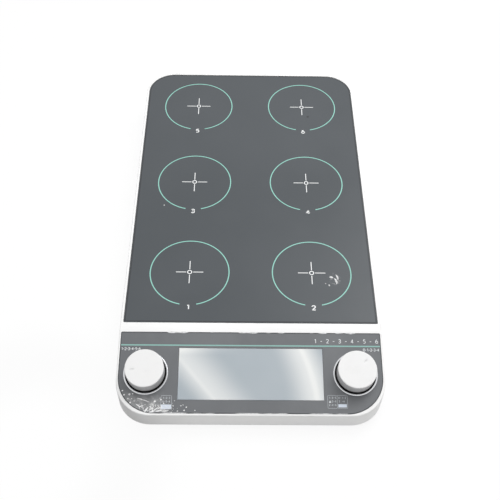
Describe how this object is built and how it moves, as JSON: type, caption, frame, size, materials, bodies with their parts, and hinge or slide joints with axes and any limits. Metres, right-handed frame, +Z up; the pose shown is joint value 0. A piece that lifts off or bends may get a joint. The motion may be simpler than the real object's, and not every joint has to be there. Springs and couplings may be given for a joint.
{
  "type": "multi-position magnetic stirrer",
  "caption": "Slim benchtop magnetic stirrer with a printed glass plate, a sloped control panel with a display window, and knobs that turn and push.",
  "frame": {"origin": "on the bench, under the middle of the outline from the front wall to the raised end of the rear switch", "axes": "+X to the right of a person at the control panel, +Y to the rear, +Z up"},
  "size_m": [0.224, 0.4106, 0.0464],
  "materials": {
    "casing_white": "satin moulded",
    "base_grey": "fine texture",
    "plate_glass": "opaque dark print under satin glass",
    "tape_foam": "foam adhesive",
    "overlay_print": "printed film",
    "clear_window": "clear gloss",
    "lcd_glass": "silvered",
    "light_guide": "clear",
    "black_plastic": "fine texture",
    "board_green": "solder mask",
    "deck_steel": "zinc plated",
    "motor_can": "plated",
    "bush_bronze": "sintered",
    "bright_steel": "turned",
    "encoder_case": "plated",
    "carrier_nylon": "moulded",
    "magnet_nickel": "nickel plated",
    "collar_silver": "satin",
    "knob_white": "satin moulded",
    "foot_rubber": "matt",
    "ribbon_grey": "flexible",
    "lead_red": "flexible"
  },
  "bodies": {
    "casing": {"upper_shell": "casing_white", "base_plate": "base_grey", "top_plate": "plate_glass", "plate_tape": "tape_foam", "panel_overlay": "overlay_print", "display_window": "clear_window", "lcd_panel": "lcd_glass", "backlight": "light_guide", "display_holder": "black_plastic", "dc_socket": "black_plastic", "switch_housing": "black_plastic", "control_board": "board_green", "driver_board": "board_green", "motor_deck": "deck_steel", "motor_1": "motor_can", "motor_2": "motor_can", "motor_3": "motor_can", "motor_4": "motor_can", "motor_5": "motor_can", "motor_6": "motor_can", "motor_bushes": "bush_bronze", "casing_screws": "bright_steel", "deck_screws": "bright_steel", "board_screws": "bright_steel", "socket_nut": "bright_steel", "left_encoder": "encoder_case", "right_encoder": "encoder_case", "left_knob_collar": "collar_silver", "right_knob_collar": "collar_silver", "foot_front_left": "foot_rubber", "foot_front_right": "foot_rubber", "foot_rear_left": "foot_rubber", "foot_rear_right": "foot_rubber", "ribbon_cable": "ribbon_grey", "wiring": "lead_red"},
    "rotor_1": {"motor_shaft_1": "bright_steel", "magnet_carrier_1": "carrier_nylon", "drive_magnets_1": "magnet_nickel"},
    "rotor_2": {"motor_shaft_2": "bright_steel", "magnet_carrier_2": "carrier_nylon", "drive_magnets_2": "magnet_nickel"},
    "rotor_3": {"motor_shaft_3": "bright_steel", "magnet_carrier_3": "carrier_nylon", "drive_magnets_3": "magnet_nickel"},
    "rotor_4": {"motor_shaft_4": "bright_steel", "magnet_carrier_4": "carrier_nylon", "drive_magnets_4": "magnet_nickel"},
    "rotor_5": {"motor_shaft_5": "bright_steel", "magnet_carrier_5": "carrier_nylon", "drive_magnets_5": "magnet_nickel"},
    "rotor_6": {"motor_shaft_6": "bright_steel", "magnet_carrier_6": "carrier_nylon", "drive_magnets_6": "magnet_nickel"},
    "left_push": {"left_push_plunger": "black_plastic"},
    "left_dial": {"left_knob": "knob_white", "left_encoder_spindle": "bright_steel"},
    "right_push": {"right_push_plunger": "black_plastic"},
    "right_dial": {"right_knob": "knob_white", "right_encoder_spindle": "bright_steel"},
    "rocker": {"power_rocker": "black_plastic"}
  },
  "joints": [
    {"name": "stir_1", "type": "hinge", "parent": "casing", "child": "rotor_1", "pos_m": [-0.055, -0.07234, 0.0235], "axis": [0, 0, 1], "continuous": true},
    {"name": "stir_2", "type": "hinge", "parent": "casing", "child": "rotor_2", "pos_m": [0.055, -0.07234, 0.0235], "axis": [0, 0, 1], "continuous": true},
    {"name": "stir_3", "type": "hinge", "parent": "casing", "child": "rotor_3", "pos_m": [-0.055, 0.03766, 0.0235], "axis": [0, 0, 1], "continuous": true},
    {"name": "stir_4", "type": "hinge", "parent": "casing", "child": "rotor_4", "pos_m": [0.055, 0.03766, 0.0235], "axis": [0, 0, 1], "continuous": true},
    {"name": "stir_5", "type": "hinge", "parent": "casing", "child": "rotor_5", "pos_m": [-0.055, 0.14766, 0.0235], "axis": [0, 0, 1], "continuous": true},
    {"name": "stir_6", "type": "hinge", "parent": "casing", "child": "rotor_6", "pos_m": [0.055, 0.14766, 0.0235], "axis": [0, 0, 1], "continuous": true},
    {"name": "left_knob_push", "type": "slide", "parent": "casing", "child": "left_push", "axis": [0, 0.2079, -0.9781], "range_m": [0, 0.0005], "stiffness_N_per_m": 2500, "springref_m": -0.0008},
    {"name": "left_knob_turn", "type": "hinge", "parent": "left_push", "child": "left_dial", "pos_m": [-0.0875, -0.17044, 0.02948], "axis": [0, -0.2079, 0.9781], "continuous": true},
    {"name": "right_knob_push", "type": "slide", "parent": "casing", "child": "right_push", "axis": [0, 0.2079, -0.9781], "range_m": [0, 0.0005], "stiffness_N_per_m": 2500, "springref_m": -0.0008},
    {"name": "right_knob_turn", "type": "hinge", "parent": "right_push", "child": "right_dial", "pos_m": [0.0875, -0.17044, 0.02948], "axis": [0, -0.2079, 0.9781], "continuous": true},
    {"name": "power_rocker_tilt", "type": "hinge", "parent": "casing", "child": "rocker", "pos_m": [0.016, 0.20016, 0.01975], "axis": [0, 0, 1], "range_deg": [-16, 0]}
  ]
}
